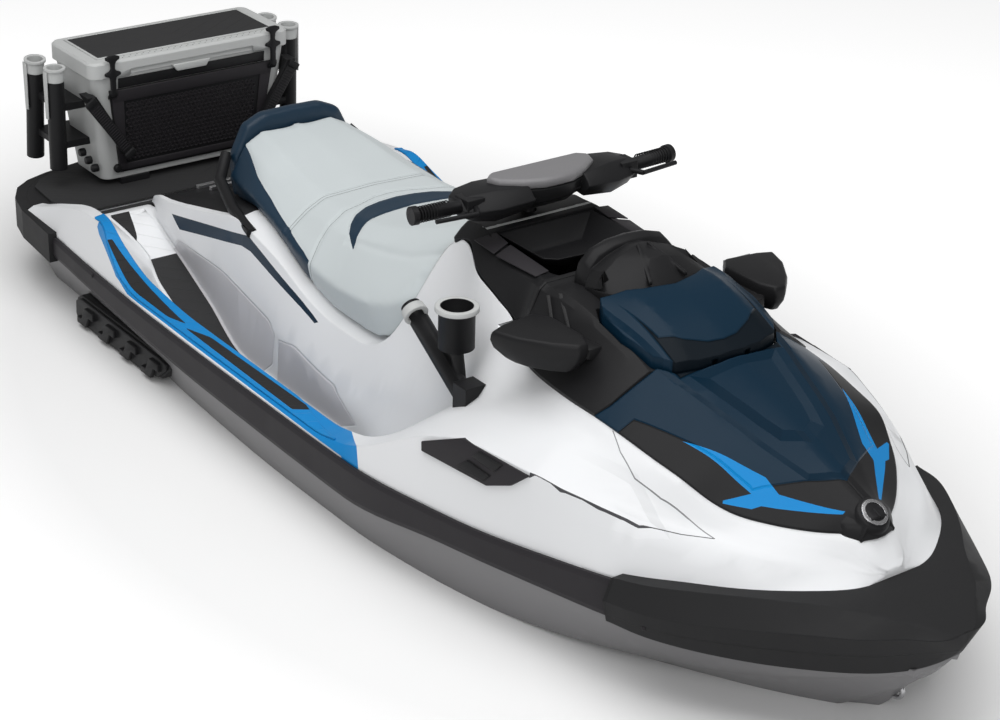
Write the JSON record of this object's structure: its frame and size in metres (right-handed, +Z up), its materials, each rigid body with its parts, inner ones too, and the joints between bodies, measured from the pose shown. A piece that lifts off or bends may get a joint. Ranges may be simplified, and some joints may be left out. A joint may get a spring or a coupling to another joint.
{
  "type": "personal watercraft",
  "caption": "Sit-down jet-drive personal watercraft for fishing, with saddle seat, steering bar, opening stores, stern platform and removable cooler kit.",
  "frame": {"origin": "on the centreline at mid length, at the waterline", "axes": "+X to the bow, +Y to port, +Z up"},
  "size_m": [3.7113, 1.255, 1.13],
  "materials": {
    "white_gelcoat": "glossy white moulded deck",
    "hull_gray": "glossy mid gray hull",
    "bumper_black": "matt black bumper",
    "rail_gray": "dark gray rail moulding",
    "navy_gloss": "glossy navy blue",
    "trim_black": "fine grained black plastic",
    "accent_blue": "bright blue accent",
    "mat_black": "embossed foam traction mat",
    "seat_gray": "light gray marine vinyl",
    "seat_navy": "navy marine vinyl",
    "cooler_gray": "light gray rotomoulded plastic",
    "silver": "anodised aluminium",
    "steel": "stainless steel",
    "mirror": "mirror glass",
    "engine_block": "painted engine block"
  },
  "bodies": {
    "craft": {"hull": "hull_gray", "deck": "white_gelcoat", "side_rails": "rail_gray", "bow_bumper": "bumper_black", "stern_platform": "bumper_black", "stern_bumpers": "bumper_black", "platform_mat": "mat_black", "gunwale_mats": "mat_black", "footwell_mats": "mat_black", "hood": "navy_gloss", "lid_surround": "trim_black", "storage_bin": "trim_black", "nose_trim": "trim_black", "nose_badge": "steel", "console": "trim_black", "gauge_pod": "trim_black", "mirror_left": "trim_black", "mirror_right": "trim_black", "pump_housing": "silver", "ride_plate": "trim_black", "intake_grate": "silver", "engine": "engine_block", "sponsons": "trim_black", "cleat_left": "trim_black", "cleat_right": "trim_black", "cup_and_rod_holder": "trim_black", "cargo_bars": "silver", "tow_eye": "steel", "stern_eyes": "steel", "step_brackets": "trim_black", "cooler_body": "cooler_gray", "cooler_front_panel": "trim_black", "cooler_base": "trim_black", "rod_holders": "trim_black", "cooler_straps": "trim_black"},
    "steering": {"handlebar": "trim_black", "grips": "trim_black", "switch_blocks": "trim_black", "levers": "trim_black"},
    "seat": {"seat_cushion": "seat_gray", "seat_rim": "seat_navy", "grab_handle": "trim_black"},
    "storage_lid": {"storage_lid": "navy_gloss"},
    "cooler_lid": {"cooler_lid": "cooler_gray", "cooler_lid_mat": "mat_black", "cooler_latches": "trim_black"},
    "jet_nozzle": {"steering_nozzle": "trim_black"},
    "reverse_gate": {"reverse_gate": "trim_black"},
    "impeller": {"impeller": "steel"},
    "boarding_step": {"boarding_step": "trim_black"}
  },
  "joints": [
    {"name": "handlebar_turn", "type": "hinge", "parent": "craft", "child": "steering", "pos_m": [0.2445, 0, 0.728], "axis": [-0.309, 0, 0.9511], "range_deg": [-25, 25]},
    {"name": "nozzle_turn", "type": "hinge", "parent": "craft", "child": "jet_nozzle", "pos_m": [-1.6705, 0, -0.119], "axis": [0, 0, 1], "range_deg": [-20, 20]},
    {"name": "reverse_gate_drop", "type": "hinge", "parent": "craft", "child": "reverse_gate", "pos_m": [-1.6235, 0, -0.119], "axis": [0, -1, 0], "range_deg": [0, 92]},
    {"name": "impeller_spin", "type": "hinge", "parent": "craft", "child": "impeller", "pos_m": [-1.4195, 0, -0.119], "axis": [1, 0, 0], "continuous": true},
    {"name": "storage_lid_tilt", "type": "hinge", "parent": "craft", "child": "storage_lid", "pos_m": [1.0345, 0, 0.65577], "axis": [0, 1, 0], "range_deg": [0, 60]},
    {"name": "seat_lift", "type": "slide", "parent": "craft", "child": "seat", "axis": [-0.5, 0, 0.866], "range_m": [0, 0.3]},
    {"name": "cooler_lid_open", "type": "hinge", "parent": "craft", "child": "cooler_lid", "pos_m": [-1.8295, 0, 0.6383], "axis": [0, -1, 0], "range_deg": [0, 95]},
    {"name": "boarding_step_fold", "type": "hinge", "parent": "craft", "child": "boarding_step", "pos_m": [-1.8155, 0, 0.131], "axis": [0, 1, 0], "range_deg": [0, 110]}
  ],
  "couplings": [
    {"joint": "nozzle_turn", "follows": "handlebar_turn", "ratio": -0.8}
  ]
}
